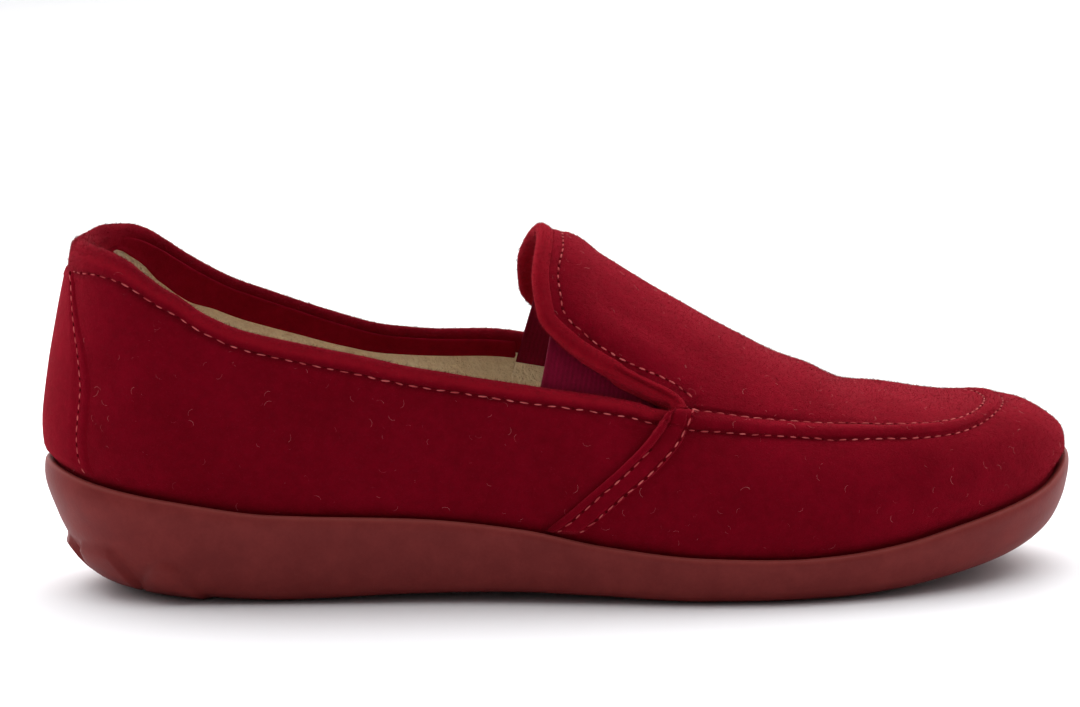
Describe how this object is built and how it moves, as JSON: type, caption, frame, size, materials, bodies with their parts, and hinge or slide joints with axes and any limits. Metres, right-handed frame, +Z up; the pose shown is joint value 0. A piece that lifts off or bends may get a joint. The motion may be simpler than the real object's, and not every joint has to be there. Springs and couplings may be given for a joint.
{
  "type": "slip-on house shoe",
  "caption": "Closed-heel felt slip-on house shoe, moccasin apron with a free flap over elastic gores, on a moulded rubber cup sole.",
  "frame": {"origin": "on the floor, under the middle of the sole's length and width", "axes": "+X to the toe, +Y to the inner (medial) side of the right foot, +Z up"},
  "size_m": [0.257, 0.0916, 0.0879],
  "materials": {
    "rubber": "matte brick-red moulded rubber",
    "felt": "napped crimson wool felt",
    "elastic": "ribbed dark red elastic webbing",
    "fleece": "cream fleece lining"
  },
  "bodies": {
    "root": {"sole": "rubber", "insole": "fleece", "upper": "felt", "flap_edge": "felt", "strip_lateral": "felt", "strip_medial": "felt", "backstay": "felt", "gore_lateral": "elastic", "gore_medial": "elastic"}
  },
  "joints": []
}
